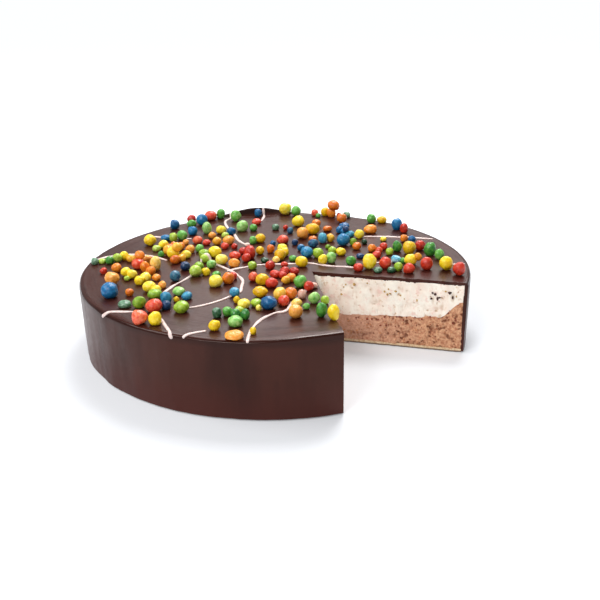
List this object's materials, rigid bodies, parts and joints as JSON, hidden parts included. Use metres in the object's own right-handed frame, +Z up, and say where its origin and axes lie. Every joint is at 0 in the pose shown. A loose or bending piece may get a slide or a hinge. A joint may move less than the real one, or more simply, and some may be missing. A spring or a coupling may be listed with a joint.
{
  "type": "celebration cake",
  "caption": "Round layered celebration cake with one portion cut out, chocolate glaze, candies and white drizzle on top.",
  "frame": {"origin": "centre of the round base, on the surface the cake stands on", "axes": "+Z up; the cut-out portion opens towards -Y, with +X to its right"},
  "size_m": [0.261, 0.2488, 0.0618],
  "materials": {
    "biscuit": "dry, fine-grained",
    "sponge": "moist, crumbly",
    "cream": "soft, matt",
    "glaze": "satin chocolate"
  },
  "bodies": {
    "root": {"biscuit_base": "biscuit", "chocolate_sponge": "sponge", "cream_filling": "cream", "chocolate_glaze": "glaze"}
  },
  "joints": []
}
